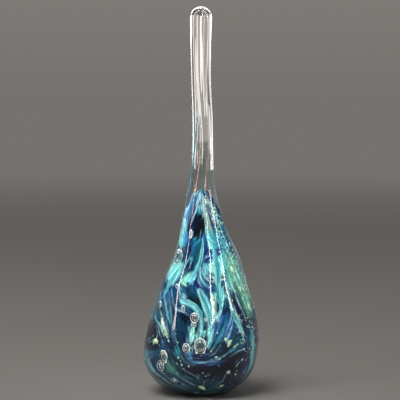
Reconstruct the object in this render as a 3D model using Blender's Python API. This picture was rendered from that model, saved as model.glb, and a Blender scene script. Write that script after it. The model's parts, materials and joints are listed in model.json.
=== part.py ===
"""A free-standing ring holder in solid-worked art glass, standing on its ground foot.

A cobalt core carries aqua ribbons and lime frit chips inlaid in its surface. A clear casing
covers it, open only at the foot, where casing and core are ground flush. Air bubbles are voids
left half in the core and half in the casing. A clear stem is fused to the casing's neck.

Frame: +Z up, origin at the middle of the foot, the side that faces the viewer towards -Y.
An azimuth is in degrees, 0 at the front and growing towards +X. Lengths are in metres.
"""

import math

import bmesh
import bpy
from mathutils import Euler, Vector
from mathutils.noise import random_unit_vector, seed_set

MM = 0.001

# Driving dimensions
TOTAL_HEIGHT = 145 * MM
FUSE_HEIGHT = 89 * MM  # where the stem is fused to the casing's neck
FOOT_RADIUS = 6.0 * MM
BELLY_HEIGHT = 15.0 * MM
CORE_SHOULDER_HEIGHT = 74.5 * MM  # above it the core closes in a dome
CORE_TOP_HEIGHT = 76.2 * MM
TIP_DOME_HEIGHT = 4.4 * MM
GAP = 0.3 * MM  # left between neighbouring pieces
SINK = 0.1 * MM  # how far a ribbon's face lies under the core's

# The outer form, in millimetres: height, radius, and how far its centre leans towards +X
OUTLINE = (
    (0, 21.2, -0.3),
    (7, 21.4, -0.45),
    (14, 21.5, -0.25),
    (21, 21.45, 0.35),
    (31, 19.6, 1.1),
    (42, 16.4, 1.2),
    (48.5, 13.9, 1.8),
    (54.5, 11.5, 1.6),
    (61, 9.2, 0.8),
    (72, 6.3, 0.3),
    (81.5, 4.6, 0.3),
    (90, 4.1, 0.45),
    (104, 3.95, 0.4),
    (118, 3.8, -0.1),
    (129, 4.0, -0.2),
    (140.6, 4.2, 0.0),
)

# Height and casing thickness
WALL = ((0, 2.0), (45, 2.2), (60, 2.35), (66, 2.5), (71, 3.0), (75, 3.7))

# The casing was paddled while soft, which left flats between ridges that run up the neck
RIDGES = (-64, -35, 8, 31, 60, 96, 137, 175, 214, 258)
WANDER = (4, 5, 6, 10, 7, -6, 5, -7, 6, 5)  # how far each ridge turns where DRIFT is 1
DRIFT = ((20, 1), (28, 0.8), (33, 0.4), (37, 0.1), (42, -0.2), (49, -0.4), (55, -0.1), (66, 1))
FLATNESS = ((22, 0.0), (40, 0.6), (60, 0.85), (85, 0.8), (125, 0.5), (138, 0.0))  # 0 is round

STEPS_PER_FLAT = 3
CORE_STEPS = 30
BELLY_STEPS = 6
OUTER_HEIGHTS = (20, 26, 32, 38, 44, 50, 57, 64, 72, 80)
CORE_HEIGHTS = (20, 27, 34, 41, 48, 55, 62, 69)
STEM_HEIGHTS = (96, 107, 118, 129, 136)

# Aqua ribbons: half width in millimetres, then azimuth and height along the middle
RIBBON_THICKNESS = 0.9 * MM
RIBBONS = (
    (0.7, ((-32, 36.8), (-22, 36.4), (-13, 35.2), (-5.5, 33.2), (-2, 30), (-1.5, 26.5))),
    (0.8, ((-8, 42), (-2, 38.5), (3.5, 34.8), (7.5, 31), (9, 27), (8, 23.5))),
    (0.9, ((-3, 60), (-5, 56), (-9, 52), (-15, 48), (-22, 45.4), (-29, 43.4))),
    (0.6, ((1, 50), (1, 48.4), (2.4, 46.6), (6, 45))),
    (1.4, ((17, 58), (19, 52), (20, 45), (20, 38), (21, 32))),
    (1.3, ((-50, 47.5), (-54, 44.5), (-60, 40), (-66, 35.5))),
    (1.1, ((32, 37), (37, 31), (45, 26), (50, 21))),
    (1.3, ((66, 25), (69, 18), (68, 12), (62, 8))),
    (1.1, ((-80, 17), (-66, 11), (-51, 8))),
    (1.5, ((98, 52), (104, 44), (116, 37), (132, 33))),
    (1.4, ((110, 22), (125, 17), (143, 15), (158, 18))),
    (1.6, ((150, 56), (156, 48), (168, 41), (172, 32), (186, 25))),
    (1.5, ((196, 50), (206, 43), (222, 38), (236, 32))),
    (1.4, ((205, 20), (222, 15), (240, 14), (256, 19))),
    (1.3, ((262, 50), (255, 42), (262, 33), (274, 27))),
)

# Lime frit chips: azimuth, height and mean radius in millimetres
CHIPS = (
    (-57, 20.5, 1.1),
    (-51, 27, 0.8),
    (-43, 24, 0.9),
    (30, 21, 0.9),
    (2, 5.2, 1.0),
    (29, 5.5, 0.9),
    (66, 33, 0.8),
    (48, 47, 0.7),
    (58, 40, 0.8),
    (92, 33, 1.0),
    (135, 25, 1.1),
    (186, 15, 1.0),
    (230, 25, 1.1),
)
CHIP_SEED = 5

# Air bubbles: azimuth, height, half width and half height in millimetres
BUBBLES = (
    (-2, 20.5, 2.0, 2.6),
    (-16, 19.6, 1.15, 1.6),
    (-11, 30.5, 1.4, 1.6),
    (-42, 15.8, 1.6, 2.1),
    (-66, 51.5, 1.55, 2.4),
    (88, 42, 1.2, 1.9),
    (120, 24, 1.6, 1.8),
    (168, 22, 1.5, 1.8),
    (204, 12, 1.3, 1.4),
    (238, 46, 1.3, 2.1),
    (268, 22, 1.7, 1.9),
)
BUBBLE_HALF_DEPTH = 1.1 * MM


def smooth(stations, at, column=1):
    """A smooth curve through one column of stations, which are sorted by their first."""
    heights = [s[0] for s in stations]
    values = [s[column] for s in stations]
    at = min(max(at, heights[0]), heights[-1])
    slopes = [
        (values[min(i + 1, len(values) - 1)] - values[max(i - 1, 0)])
        / (heights[min(i + 1, len(values) - 1)] - heights[max(i - 1, 0)])
        for i in range(len(values))
    ]
    i = max(k for k in range(len(heights) - 1) if heights[k] <= at)
    span = heights[i + 1] - heights[i]
    t = (at - heights[i]) / span
    return (
        values[i] * (1 + 2 * t) * (1 - t) ** 2
        + slopes[i] * span * t * (1 - t) ** 2
        + values[i + 1] * t * t * (3 - 2 * t)
        + slopes[i + 1] * span * t * t * (t - 1)
    )


def foot_arc(height, foot, belly):
    """The radius on the quarter ellipse that runs from the ground foot up to the belly."""
    rise = 1 - min(height / BELLY_HEIGHT, 1)
    return foot + (belly - foot) * math.sqrt(1 - rise * rise)


def outer_radius(height):
    """The round form's radius, before the flats."""
    radius = smooth(OUTLINE, height / MM) * MM
    if height < BELLY_HEIGHT:
        return foot_arc(height, FOOT_RADIUS, radius)
    over = (height - (TOTAL_HEIGHT - TIP_DOME_HEIGHT)) / TIP_DOME_HEIGHT
    return radius * math.sqrt(1 - min(over, 1) ** 2) if over > 0 else radius


def core_radius(height):
    """The core follows the outer form inside the casing's wall, and ends in a dome."""
    wall = smooth(WALL, height / MM) * MM
    radius = outer_radius(min(height, CORE_SHOULDER_HEIGHT)) - wall
    over = (height - CORE_SHOULDER_HEIGHT) / (CORE_TOP_HEIGHT - CORE_SHOULDER_HEIGHT)
    return radius * math.sqrt(1 - min(over, 1) ** 2) if over > 0 else radius


def ridge_azimuths(height):
    """The ridges' azimuths at one height: they wander a little as they run up."""
    drift = smooth(DRIFT, height / MM)
    return [ridge + wander * drift for ridge, wander in zip(RIDGES, WANDER, strict=True)]


def place(azimuth, height, radius):
    """The point at that azimuth, height and distance from the leaning centre line."""
    turn = math.radians(azimuth)
    lean = smooth(OUTLINE, height / MM, 2) * MM
    return Vector((lean + radius * math.sin(turn), -radius * math.cos(turn), height))


def outer_ring(height):
    """The casing's or stem's outline at one height, with a point on every ridge."""
    ridges = ridge_azimuths(height)
    radius, flatness = outer_radius(height), smooth(FLATNESS, height / MM)
    points = []
    for start, end in zip(ridges, [*ridges[1:], ridges[0] + 360], strict=True):
        middle, half = (start + end) / 2, math.radians(end - start) / 2
        for k in range(STEPS_PER_FLAT):
            azimuth = start + (end - start) * k / STEPS_PER_FLAT
            chord = math.cos(half) / math.cos(math.radians(azimuth - middle))
            points.append(place(azimuth, height, radius * (1 - flatness * (1 - chord))))
    return points


def core_ring(height, grow=0.0):
    """The core's outline at one height, or the casing's inner wall with grow."""
    radius = core_radius(height) + grow
    return [place(360 * k / CORE_STEPS, height, radius) for k in range(CORE_STEPS)]


def arc_heights(low, high, steps, closing_at_top):
    """Heights along a quarter ellipse, packed towards the end where it turns in."""
    share = [math.sin(math.pi / 2 * k / steps) for k in range(steps + 1)]
    if closing_at_top:
        return [low + (high - low) * s for s in share]
    return [high - (high - low) * s for s in reversed(share)]


def new_object(name, mesh, material):
    """A smooth-shaded object with its material, in the scene."""
    mesh.shade_smooth()
    mesh.set_sharp_from_angle(angle=math.radians(40))
    obj = bpy.data.objects.new(name, mesh)
    obj.data.materials.append(material)
    bpy.context.scene.collection.objects.link(obj)
    return obj


def lofted(name, rings, material):
    """A closed solid through rings of points, bottom ring first, with flat ends."""
    work = bmesh.new()
    loops = [[work.verts.new(p) for p in ring] for ring in rings]
    for lower, upper in zip(loops, loops[1:], strict=False):
        count = len(lower)
        for k in range(count):
            n = (k + 1) % count
            work.faces.new((lower[k], lower[n], upper[n], upper[k]))
    work.faces.new(list(reversed(loops[0])))
    work.faces.new(loops[-1])
    bmesh.ops.recalc_face_normals(work, faces=work.faces)
    mesh = bpy.data.meshes.new(name)
    work.to_mesh(mesh)
    work.free()
    return new_object(name, mesh, material)


def cutter(obj):
    """Marks an object as a tool that only shapes others."""
    obj.hide_render = True
    obj.display_type = "WIRE"
    return obj


def cut(target, tool):
    modifier = target.modifiers.new("cut_" + tool.name, "BOOLEAN")
    modifier.operation = "DIFFERENCE"
    modifier.solver = "EXACT"
    modifier.object = tool


def glass(name, colour, alpha=1.0, roughness=0.05):
    material = bpy.data.materials.new(name)
    material.use_nodes = True
    shader = material.node_tree.nodes["Principled BSDF"]
    shader.inputs["Base Color"].default_value = (*colour, 1.0)
    shader.inputs["Roughness"].default_value = roughness
    shader.inputs["Metallic"].default_value = 0.0
    shader.inputs["IOR"].default_value = 1.5
    shader.inputs["Alpha"].default_value = alpha
    return material


def ribbon_middle(path, steps):
    """Azimuths and heights along the middle of a ribbon."""
    stations = [(k, *point) for k, point in enumerate(path)]
    reach = len(path) - 1
    return [
        (smooth(stations, reach * k / steps, 1), smooth(stations, reach * k / steps, 2) * MM)
        for k in range(steps + 1)
    ]


def ribbon_sections(half_width, path, grow=0.0, rise=0.0):
    """Cross-sections of a ribbon along its path, or of its groove with grow and rise."""
    steps = 3 * (len(path) - 1)
    middle = ribbon_middle(path, steps)
    top = 1.5 if rise else 1.0
    corners = ((-top, 0), (0, 0), (top, 0), (0.6, 1), (-0.6, 1))
    sections = []
    for k, (azimuth, height) in enumerate(middle):
        before, after = middle[max(k - 1, 0)], middle[min(k + 1, steps)]
        radius = core_radius(height)
        run = Vector((math.radians(after[0] - before[0]) * radius, after[1] - before[1]))
        run.normalize()
        end = (1 if k == steps else -1 if k == 0 else 0) * grow
        half = half_width * MM * (0.35 + 0.65 * math.sin(math.pi * k / steps))
        section = []
        for across, deep in corners:
            shift = across * half + math.copysign(grow, across) * (across != 0)
            side = Vector((-run.y, run.x)) * shift + run * end
            level = core_radius(height + side.y) + (rise - SINK)
            if deep:
                level = core_radius(height + side.y) - (RIBBON_THICKNESS + grow)
            turn = azimuth + math.degrees(side.x / radius)
            section.append(place(turn, height + side.y, level))
        sections.append(section)
    return sections


def build_ribbons(core, material):
    """Aqua ribbons, each just under the surface in a groove of its own in the core."""
    for number, (half_width, path) in enumerate(RIBBONS, start=1):
        name = f"aqua_ribbon_{number:02d}"
        lofted(name, ribbon_sections(half_width, path), material)
        groove = ribbon_sections(half_width, path, grow=GAP, rise=4 * GAP)
        cut(core, cutter(lofted(name + "_groove", groove, material)))


def chip_points(size):
    """A few scattered points whose hull is a crushed chip of glass."""
    directions = [random_unit_vector() for _ in range(11)]
    points = [Vector((d.x, d.y, 0.7 * d.z)) * size for d in directions]
    middle = sum(points, Vector()) / len(points)
    return [p - middle for p in points]


def hull(name, points, material):
    work = bmesh.new()
    for point in points:
        work.verts.new(point)
    found = bmesh.ops.convex_hull(work, input=work.verts)
    bmesh.ops.delete(work, geom=found["geom_interior"], context="VERTS")
    bmesh.ops.recalc_face_normals(work, faces=work.faces)
    mesh = bpy.data.meshes.new(name)
    work.to_mesh(mesh)
    work.free()
    return new_object(name, mesh, material)


def build_chips(core, material):
    """Lime frit chips, each sunk in a pocket that opens on the core's surface."""
    for number, (azimuth, height, radius) in enumerate(CHIPS, start=1):
        name = f"lime_frit_chip_{number:02d}"
        seed_set(CHIP_SEED + number)
        points = chip_points(radius * MM)
        level = core_radius(height * MM)
        centre = place(azimuth, height * MM, level - radius * MM)
        hull(name, [centre + p for p in points], material)
        outward = place(azimuth, 0, 1) - place(azimuth, 0, 0)
        grown = [centre + p * (1 + 1.3 * GAP / (radius * MM)) for p in points]
        pushed = [p + outward * (2.2 * radius * MM) for p in grown]
        cut(core, cutter(hull(name + "_pocket", grown + pushed, material)))


def build_bubbles(core, casing):
    """Air bubbles: ellipsoid voids across the face where core and casing meet."""
    for number, (azimuth, height, half_width, half_height) in enumerate(BUBBLES, start=1):
        name = f"bubble_{number:02d}"
        work = bmesh.new()
        bmesh.ops.create_uvsphere(work, u_segments=12, v_segments=7, radius=1.0)
        for vertex in work.verts:
            x, y, z = vertex.co
            vertex.co = (x * half_width * MM, y * BUBBLE_HALF_DEPTH, z * half_height * MM)
        mesh = bpy.data.meshes.new(name)
        work.to_mesh(mesh)
        work.free()
        tool = bpy.data.objects.new(name, mesh)
        bpy.context.scene.collection.objects.link(tool)
        tool.location = place(azimuth, height * MM, core_radius(height * MM))
        tool.rotation_euler = Euler((0, 0, math.radians(azimuth)))
        cutter(tool)
        cut(core, tool)
        cut(casing, tool)


def build_core(material):
    heights = arc_heights(0, BELLY_HEIGHT, BELLY_STEPS, closing_at_top=False)
    heights += [h * MM for h in CORE_HEIGHTS]
    heights += arc_heights(CORE_SHOULDER_HEIGHT, CORE_TOP_HEIGHT, 4, closing_at_top=True)
    rings = [core_ring(h) for h in heights[:-1]]
    rings.append([p.lerp(place(0, CORE_TOP_HEIGHT, 0), 0.92) for p in rings[-1]])
    return lofted("cobalt_core", rings, material)


def build_casing(material):
    heights = arc_heights(0, BELLY_HEIGHT, BELLY_STEPS, closing_at_top=False)
    heights += [h * MM for h in OUTER_HEIGHTS] + [FUSE_HEIGHT]
    casing = lofted("clear_casing", [outer_ring(h) for h in heights], material)
    inner = arc_heights(0, BELLY_HEIGHT, BELLY_STEPS, closing_at_top=False)
    inner += [h * MM for h in CORE_HEIGHTS]
    inner += arc_heights(CORE_SHOULDER_HEIGHT, CORE_TOP_HEIGHT, 4, closing_at_top=True)[:-1]
    rings = [core_ring(h, grow=GAP) for h in inner]
    below = [Vector((p.x, p.y, -GAP * 10)) for p in rings[0]]
    top = [place(0, CORE_TOP_HEIGHT + GAP * 2, 0).lerp(p, 0.15) for p in rings[-1]]
    cut(casing, cutter(lofted("core_room", [below, *rings, top], material)))
    return casing


def build_stem(material):
    heights = [FUSE_HEIGHT + GAP, *[h * MM for h in STEM_HEIGHTS]]
    heights += arc_heights(TOTAL_HEIGHT - TIP_DOME_HEIGHT, TOTAL_HEIGHT, 4, closing_at_top=True)
    rings = [outer_ring(h) for h in heights[:-1]]
    tip = place(0, TOTAL_HEIGHT, 0)
    rings.append([p.lerp(tip, 0.75) for p in rings[-1]])
    return lofted("clear_stem", rings, material)


def main():
    for obj in list(bpy.data.objects):
        bpy.data.objects.remove(obj)
    clear = glass("clear_glass", (0.92, 0.95, 0.95), alpha=0.3, roughness=0.02)
    cobalt = glass("cobalt_glass", (0.01, 0.08, 0.22))
    aqua = glass("aqua_glass", (0.16, 0.62, 0.62))
    lime = glass("lime_glass", (0.75, 0.85, 0.45))
    build_stem(clear)
    casing = build_casing(clear)
    core = build_core(cobalt)
    build_ribbons(core, aqua)
    build_chips(core, lime)
    build_bubbles(core, casing)


main()
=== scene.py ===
"""The looks of the art-glass ring holder: clear glass over a swirled core.

An azimuth is in degrees, 0 at the front and growing towards +X. Heights and other small sizes
are in millimetres until a mesh is made.
"""

import json
import math

import bmesh
import bpy
import numpy as np
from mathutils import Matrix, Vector, noise

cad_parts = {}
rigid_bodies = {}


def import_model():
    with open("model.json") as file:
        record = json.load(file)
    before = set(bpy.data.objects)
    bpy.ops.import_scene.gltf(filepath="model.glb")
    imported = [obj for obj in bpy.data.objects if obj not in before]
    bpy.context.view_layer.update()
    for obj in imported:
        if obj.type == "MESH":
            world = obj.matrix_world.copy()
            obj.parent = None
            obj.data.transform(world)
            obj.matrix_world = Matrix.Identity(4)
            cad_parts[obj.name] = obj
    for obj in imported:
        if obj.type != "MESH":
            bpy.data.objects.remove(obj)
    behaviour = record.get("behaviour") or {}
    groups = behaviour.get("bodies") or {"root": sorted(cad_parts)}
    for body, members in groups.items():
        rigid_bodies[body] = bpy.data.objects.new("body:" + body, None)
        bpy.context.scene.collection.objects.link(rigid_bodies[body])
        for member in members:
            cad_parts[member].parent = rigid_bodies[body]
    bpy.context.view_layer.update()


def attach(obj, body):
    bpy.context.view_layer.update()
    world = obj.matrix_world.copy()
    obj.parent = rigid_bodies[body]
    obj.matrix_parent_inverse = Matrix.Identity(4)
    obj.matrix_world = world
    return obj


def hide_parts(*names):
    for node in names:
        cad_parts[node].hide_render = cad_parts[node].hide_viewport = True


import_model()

MM = 0.001
HEIGHT = 145.0
FOOT_RADIUS = 6.0
BELLY_HEIGHT = 15.0
TIP_DOME = 4.4
CORE_SHOULDER = 74.5
CORE_TOP = 76.2

# Height, radius, and how far the centre leans towards +X
OUTLINE = np.array(
    [
        (0, 21.2, -0.3),
        (7, 21.4, -0.45),
        (14, 21.5, -0.25),
        (21, 21.45, 0.35),
        (31, 19.6, 1.1),
        (42, 16.4, 1.2),
        (48.5, 13.9, 1.8),
        (54.5, 11.5, 1.6),
        (61, 9.2, 0.8),
        (72, 6.3, 0.3),
        (81.5, 4.6, 0.3),
        (90, 4.1, 0.45),
        (104, 3.95, 0.4),
        (118, 3.8, -0.1),
        (129, 4.0, -0.2),
        (140.6, 4.2, 0.0),
    ]
)
WALL = np.array([(0, 2.0), (45, 2.2), (60, 2.35), (66, 2.5), (71, 3.0), (75, 3.7)])
RIDGES = np.array([-64, -35, 8, 31, 60, 96, 137, 175, 214, 258], dtype=float)
WANDER = np.array([4, 5, 6, 10, 7, -6, 5, -7, 6, 5], dtype=float)
DRIFT = np.array(
    [(20, 1), (28, 0.8), (33, 0.4), (37, 0.1), (42, -0.2), (49, -0.4), (55, -0.1), (66, 1)]
)
FLATNESS = np.array([(22, 0.0), (40, 0.6), (60, 0.85), (85, 0.8), (125, 0.5), (138, 0.0)])

# Colours of the glass, as seen
INK = (5, 14, 30)
NAVY = (9, 32, 68)
INDIGO = (26, 36, 112)
COBALT = (24, 84, 148)
DEEP = (14, 74, 98)
TEAL = (34, 122, 140)
SEA = (80, 156, 158)
AQUA = (124, 202, 202)
MINT = (150, 225, 196)
ICE = (160, 208, 226)
PALE = (214, 238, 224)
LIME = (196, 230, 160)
OLIVE = (92, 150, 134)
MOSS = (64, 128, 112)
CYAN = (118, 192, 214)
SKY = (66, 142, 196)
SLATE = (70, 84, 112)
GLOW = (158, 228, 216)
WHITE = (244, 250, 238)
ROSE = (206, 178, 168)
FOG = (146, 172, 166)


def linear(colour):
    """An 8-bit display colour as scene-linear values."""
    c = np.array(colour, dtype=float) / 255
    return np.where(c <= 0.04045, c / 12.92, ((c + 0.055) / 1.055) ** 2.4)


def smooth(stations, at, column=1):
    """A smooth curve through one column of the stations, which are sorted by their first."""
    x, y = stations[:, 0], stations[:, column]
    at = np.clip(at, x[0], x[-1])
    last = len(x) - 1
    slope = np.array(
        [
            (y[min(i + 1, last)] - y[max(i - 1, 0)]) / (x[min(i + 1, last)] - x[max(i - 1, 0)])
            for i in range(len(x))
        ]
    )
    i = np.clip(np.searchsorted(x, at, side="right") - 1, 0, last - 1)
    span = x[i + 1] - x[i]
    t = (at - x[i]) / span
    return (
        y[i] * (1 + 2 * t) * (1 - t) ** 2
        + slope[i] * span * t * (1 - t) ** 2
        + y[i + 1] * t * t * (3 - 2 * t)
        + slope[i + 1] * span * t * t * (t - 1)
    )


def outer_radius(z):
    z = np.asarray(z, dtype=float)
    radius = smooth(OUTLINE, z)
    rise = 1 - np.clip(z / BELLY_HEIGHT, 0, 1)
    radius = FOOT_RADIUS + (radius - FOOT_RADIUS) * np.sqrt(1 - rise**2)
    over = np.clip((z - (HEIGHT - TIP_DOME)) / TIP_DOME, 0, 1)
    return radius * np.sqrt(1 - over**2)


def core_radius(z):
    z = np.asarray(z, dtype=float)
    radius = outer_radius(np.minimum(z, CORE_SHOULDER)) - smooth(WALL, z)
    over = np.clip((z - CORE_SHOULDER) / (CORE_TOP - CORE_SHOULDER), 0, 1)
    return radius * np.sqrt(1 - over**2)


def lean(z):
    return smooth(OUTLINE, np.asarray(z, dtype=float), 2)


def place(azimuth, z, radius):
    """Points in millimetres at an azimuth, height and distance from the leaning centre line."""
    turn = np.radians(azimuth)
    return np.stack(
        [lean(z) + radius * np.sin(turn), -radius * np.cos(turn), z + 0 * turn], axis=-1
    )


def ridge_azimuths(z):
    """Where the ridges are at one height: they wander as the tool did."""
    return RIDGES + WANDER * float(smooth(DRIFT, np.array(float(z))))


def flat_share(azimuth, z):
    """What the paddled flats leave of the radius: 1 on a ridge, less between two ridges."""
    ridges = ridge_azimuths(z)
    wrapped = (azimuth - ridges[0]) % 360 + ridges[0]
    ends = np.append(ridges, ridges[0] + 360)
    i = np.clip(np.searchsorted(ends, wrapped, side="right") - 1, 0, len(RIDGES) - 1)
    middle, half = (ends[i] + ends[i + 1]) / 2, np.radians(ends[i + 1] - ends[i]) / 2
    chord = np.cos(half) / np.cos(np.radians(wrapped - middle))
    return 1 - float(smooth(FLATNESS, np.array(float(z)))) * (1 - chord)


def mesh_object(name, points, faces, material):
    mesh = bpy.data.meshes.new(name)
    mesh.from_pydata([tuple(p) for p in np.array(points) * MM], [], faces)
    mesh.validate()
    mesh.shade_smooth()
    obj = bpy.data.objects.new(name, mesh)
    obj.data.materials.append(material)
    bpy.context.scene.collection.objects.link(obj)
    return obj


def point_values(obj, name, values):
    """Stores a vector at each point of a mesh, or a colour where it has four numbers."""
    values = np.array(values, dtype=np.float32)
    kind, field = ("FLOAT_COLOR", "color") if values.shape[1] == 4 else ("FLOAT_VECTOR", "vector")
    obj.data.attributes.new(name, kind, "POINT").data.foreach_set(field, values.ravel())


def along_path(path, steps):
    """A smooth run through the stations of a path: an array for each number of a station."""
    stations = np.array([(k, *p) for k, p in enumerate(path)], dtype=float)
    at = np.linspace(0, len(path) - 1, steps * len(path))
    return [smooth(stations, at, column) for column in range(1, stations.shape[1])]


def beside(middle, x, y, z, turn):
    """The point at x, y and z from a middle, on axes turned to its azimuth."""
    return (
        middle[0] + x * math.cos(turn) - y * math.sin(turn),
        middle[1] + x * math.sin(turn) + y * math.cos(turn),
        middle[2] + z,
    )


def tube_faces(first, steps, sides, closed=False):
    """Faces round a tube's rings of points, with flat ends where it isn't closed on itself."""
    faces = []
    for k in range(steps if closed else steps - 1):
        on = ((k + 1) % steps - k) * sides
        for j in range(sides):
            a, b = first + k * sides + j, first + k * sides + (j + 1) % sides
            faces.append((a, b, b + on, a + on))
    if not closed:
        faces.append(tuple(first + j for j in reversed(range(sides))))
        faces.append(tuple(first + (steps - 1) * sides + j for j in range(sides)))
    return faces


def lathe_faces(rings, around):
    """Quads between rings of points, and a fan to a middle point after them at each end."""
    faces = []
    for r in range(rings - 1):
        for k in range(around):
            a, b = r * around + k, r * around + (k + 1) % around
            faces.append((a, b, b + around, a + around))
    low, last = rings * around, (rings - 1) * around
    for k in range(around):
        n = (k + 1) % around
        faces.append((n, k, low))
        faces.append((last + k, last + n, low + 1))
    return faces


# ---------------------------------------------------------------- materials


class Nodes:
    """A short way to write a material's nodes; in an input's name "_" stands for a space."""

    def __init__(self, name, **shader):
        self.material = bpy.data.materials.new(name)
        self.material.use_nodes = True
        self.tree = self.material.node_tree
        self.shader = self.tree.nodes["Principled BSDF"]
        for key, value in shader.items():
            self.shader.inputs[key.replace("_", " ")].default_value = value

    def add(self, kind, **values):
        node = self.tree.nodes.new("ShaderNode" + kind)
        for key, value in values.items():
            if hasattr(node, key):
                setattr(node, key, value)
            else:
                node.inputs[key.replace("_", " ")].default_value = value
        return node

    def link(self, out, into):
        self.tree.links.new(out, into)

    def paint(self, colour):
        self.link(colour, self.shader.inputs["Base Color"])

    def place(self):
        return self.add("TexCoord").outputs["Object"]

    def attribute(self, name, output):
        return self.add("Attribute", attribute_name=name).outputs[output]

    def grain(self, vector, **values):
        """Noise over the points that a vector socket gives."""
        node = self.add("TexNoise", **values)
        self.link(vector, node.inputs["Vector"])
        return node.outputs["Fac"]

    def span(self, source, start, end, to_start, to_end, **values):
        """A value carried from one range to another."""
        ends = {"From_Min": start, "From_Max": end, "To_Min": to_start, "To_Max": to_end}
        node = self.add("MapRange", **ends, **values)
        self.link(source, node.inputs["Value"])
        return node.outputs["Result"]

    def ramp(self, source, stops):
        node = self.add("ValToRGB")
        node.color_ramp.elements[0].position = stops[0][0]
        node.color_ramp.elements[0].color = (*stops[0][1], 1)
        node.color_ramp.elements[1].position = stops[-1][0]
        node.color_ramp.elements[1].color = (*stops[-1][1], 1)
        for at, colour in stops[1:-1]:
            node.color_ramp.elements.new(at).color = (*colour, 1)
        self.link(source, node.inputs["Fac"])
        return node.outputs["Color"]

    def multiply(self, a, b):
        node = self.add("Mix", data_type="RGBA", blend_type="MULTIPLY")
        node.inputs[0].default_value = 1.0
        self.link(a, node.inputs[6])
        self.link(b, node.inputs[7])
        return node.outputs[2]

    def bump(self, height, strength, distance):
        node = self.add("Bump", Strength=strength, Distance=distance)
        self.link(height, node.inputs["Height"])
        self.link(node.outputs["Normal"], self.shader.inputs["Normal"])


def tones(*stops):
    """Stops of a ramp, each a place on it and a display colour."""
    return [(at, tuple(linear(colour))) for at, colour in stops]


def clear_material():
    """Fire-polished clear glass, with the faint waviness that tooling leaves."""
    n = Nodes(
        "clear_glass",
        Base_Color=(0.985, 0.995, 0.99, 1),
        Transmission_Weight=1.0,
        IOR=1.5,
        Coat_Weight=0.6,
        Coat_Roughness=0.14,
    )
    stretch = n.add("Mapping", Scale=(900, 900, 60))
    n.link(n.place(), stretch.inputs["Vector"])
    n.bump(n.grain(stretch.outputs["Vector"], Scale=1.0, Detail=2.0), 0.06, 0.08 * MM)
    film = n.grain(n.place(), Scale=160.0, Detail=4.0)
    n.link(n.span(film, 0.45, 0.8, 0.0, 0.03), n.shader.inputs["Roughness"])
    return n.material


def core_material():
    """Swirled coloured glass: the drawn colours, with finer light and dark threads over them, the
    brightest of them painted highlights.
    """
    n = Nodes("swirled_glass", Specular_IOR_Level=0.0, Roughness=0.45)
    threads = n.grain(n.attribute("flow", "Vector"), Scale=1.0, Detail=5.0, Roughness=0.6)
    # stops above 1 brighten threads past the glass's own colour, as painted highlight
    stops = (
        (0.33, (0.4, 0.45, 0.5)),
        (0.5, (1.0, 1.0, 1.0)),
        (0.6, (1.3, 1.3, 1.25)),
        (0.68, (2.2, 2.1, 2.0)),
    )
    n.paint(n.multiply(n.attribute("tint", "Color"), n.ramp(threads, stops)))
    return n.material


def ribbon_material():
    n = Nodes("aqua_glass", Specular_IOR_Level=0.0, Roughness=0.4)
    threads = n.grain(n.attribute("strand", "Vector"), Scale=1.0, Detail=4.0, Roughness=0.55)
    n.paint(n.ramp(threads, tones((0.3, DEEP), (0.42, TEAL), (0.5, SEA), (0.58, AQUA), (0.7, ICE))))
    return n.material


def frit_material():
    n = Nodes("lime_glass", Specular_IOR_Level=0.15, Roughness=0.35)
    stops = [*tones((0.3, OLIVE), (0.45, LIME), (0.6, PALE)), (0.75, (1.0, 1.0, 0.95))]
    n.paint(n.ramp(n.grain(n.place(), Scale=700.0, Detail=3.0), stops))
    return n.material


def bubble_glint_material():
    """Painted highlight: the bright ring that an air bubble's wall reflects, as an opaque pale material.
    """
    n = Nodes("bubble_painted_glint", Specular_IOR_Level=0.4, Roughness=0.25)
    stops = ((0.32, (0.35, 0.6, 0.62)), (0.42, (0.85, 0.93, 0.92)), (0.52, (1.0, 0.99, 0.97)))
    n.paint(n.ramp(n.grain(n.place(), Scale=900.0, Detail=3.0), stops))
    return n.material


def wisp_material():
    n = Nodes("drawn_wisps", Specular_IOR_Level=0.0, Roughness=0.5)
    stops = ((0.3, (0.5, 0.5, 0.5)), (0.7, (1.3, 1.3, 1.3)))
    streak = n.ramp(n.grain(n.place(), Scale=500.0, Detail=2.0), stops)
    n.paint(n.multiply(n.attribute("tint", "Color"), streak))
    return n.material


# ---------------------------------------------------------------- bubbles

# Azimuth, height, half width, half height, how deep its middle lies under the outer face,
# and for one how far round it faces
BUBBLES = (
    (-2, 20.5, 2.0, 2.6, 1.9),
    (-16, 19.6, 1.15, 1.6, 1.6),
    (-11, 30.5, 1.4, 1.6, 1.6),
    (-11, 28, 0.8, 0.9, 1.3),
    (-42, 15.8, 1.6, 2.1, 1.7),
    (-46, 12.4, 1.45, 1.7, 1.8),
    (-64, 51.5, 1.8, 2.7, 1.9, 38),
    (-26, 33.5, 0.6, 1.2, 1.2),
    (-66, 34, 0.9, 1.2, 1.4),
    (-40, 41.5, 0.6, 0.8, 1.2),
    (-32, 7.6, 0.7, 0.7, 1.3),
    (-28, 7.2, 0.45, 0.5, 1.1),
    (2, 30, 0.45, 0.5, 1.1),
    (32, 10.5, 0.45, 0.5, 1.1),
    (-33, 60.5, 0.45, 1.4, 1.0),
    (47, 24, 0.6, 0.8, 1.2),
    (88, 42, 1.2, 1.9, 1.5),
    (120, 24, 1.6, 1.8, 1.7),
    (112, 28.5, 0.9, 1.1, 1.4),
    (168, 22, 1.5, 1.8, 1.6),
    (184, 40, 0.8, 1.3, 1.3),
    (204, 12, 1.3, 1.4, 1.6),
    (238, 46, 1.3, 2.1, 1.5),
    (268, 22, 1.7, 1.9, 1.8),
)


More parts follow.
